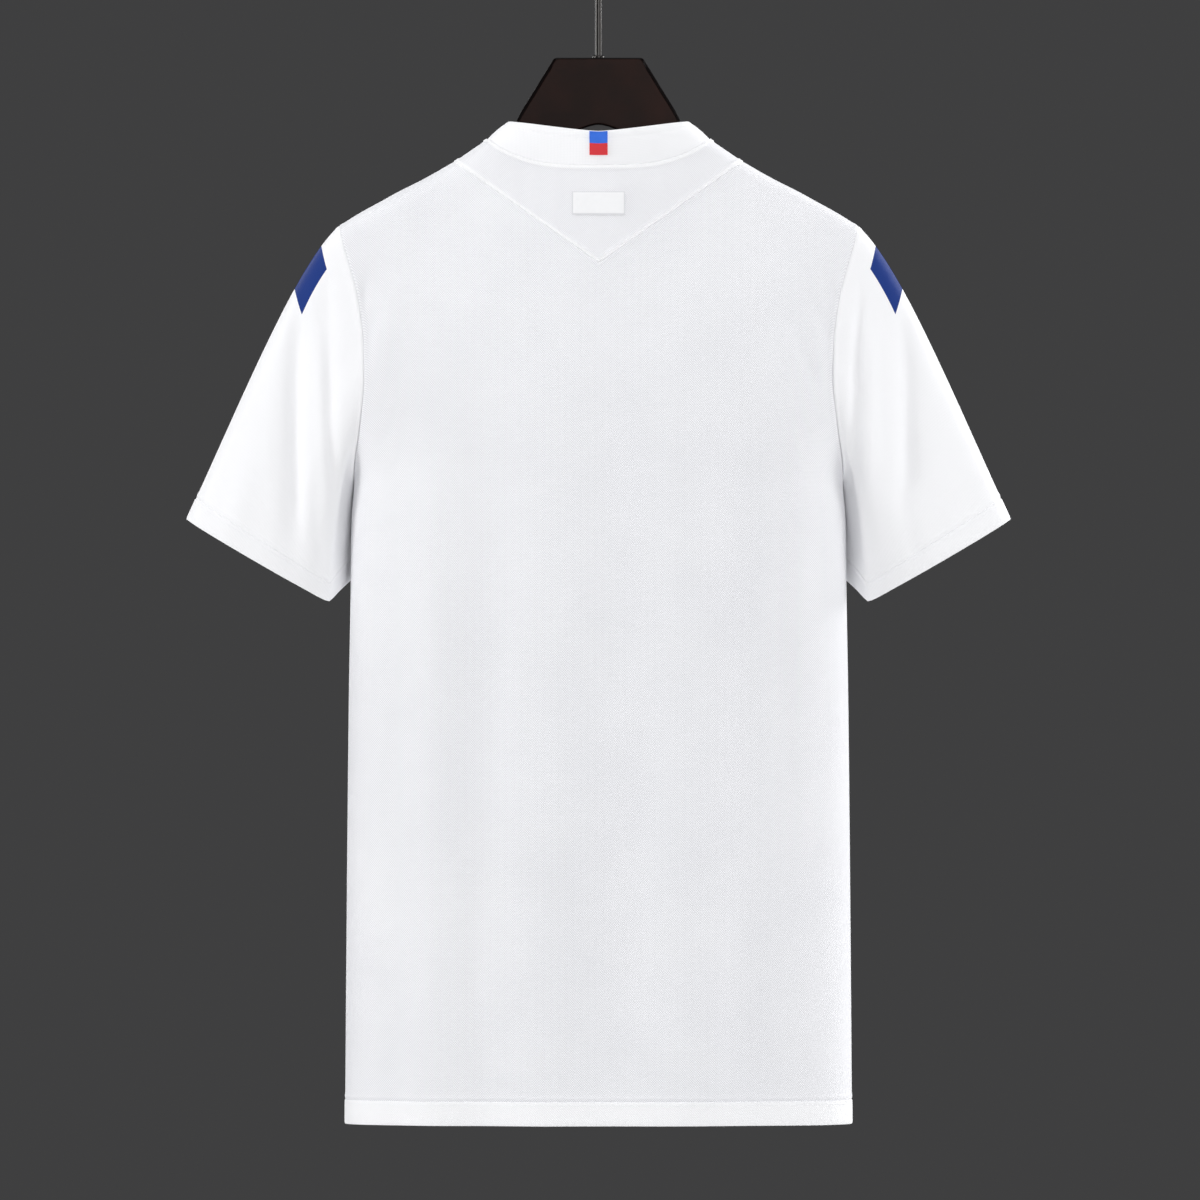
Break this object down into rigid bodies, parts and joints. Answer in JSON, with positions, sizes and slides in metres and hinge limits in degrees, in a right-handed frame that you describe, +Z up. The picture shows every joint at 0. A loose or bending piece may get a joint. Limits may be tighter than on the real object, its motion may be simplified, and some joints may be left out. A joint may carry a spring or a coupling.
{
  "type": "football jersey on a hanger",
  "caption": "White short-sleeved football jersey with a stand collar and a pointed back yoke, hanging open on a dark wooden hanger with a wire hook.",
  "frame": {"origin": "top of the inside of the hook, where a rail carries it, in the middle of the wire", "axes": "+Z up, +Y out of the jersey's back, +X to the wearer's left"},
  "size_m": [0.6192, 0.1486, 0.8958],
  "materials": {
    "mesh_cloth": "matt white knit with a fine open mesh texture",
    "smooth_cloth": "smooth matt white knit",
    "tab_cloth": "woven ribbon in plain bands of blue and red",
    "patch_print": "smooth white heat-pressed patch, blank",
    "dark_wood": "dark brown lacquer over fine grain",
    "hook_metal": "polished wire"
  },
  "bodies": {
    "root": {"back_panel": "mesh_cloth", "front_panel": "mesh_cloth", "back_yoke": "smooth_cloth", "sleeve_left": "smooth_cloth", "sleeve_right": "smooth_cloth", "collar_band": "smooth_cloth", "neck_tab": "tab_cloth", "back_patch": "patch_print", "hanger_body": "dark_wood", "hanger_hook": "hook_metal", "hook_ferrule": "hook_metal"}
  },
  "joints": []
}
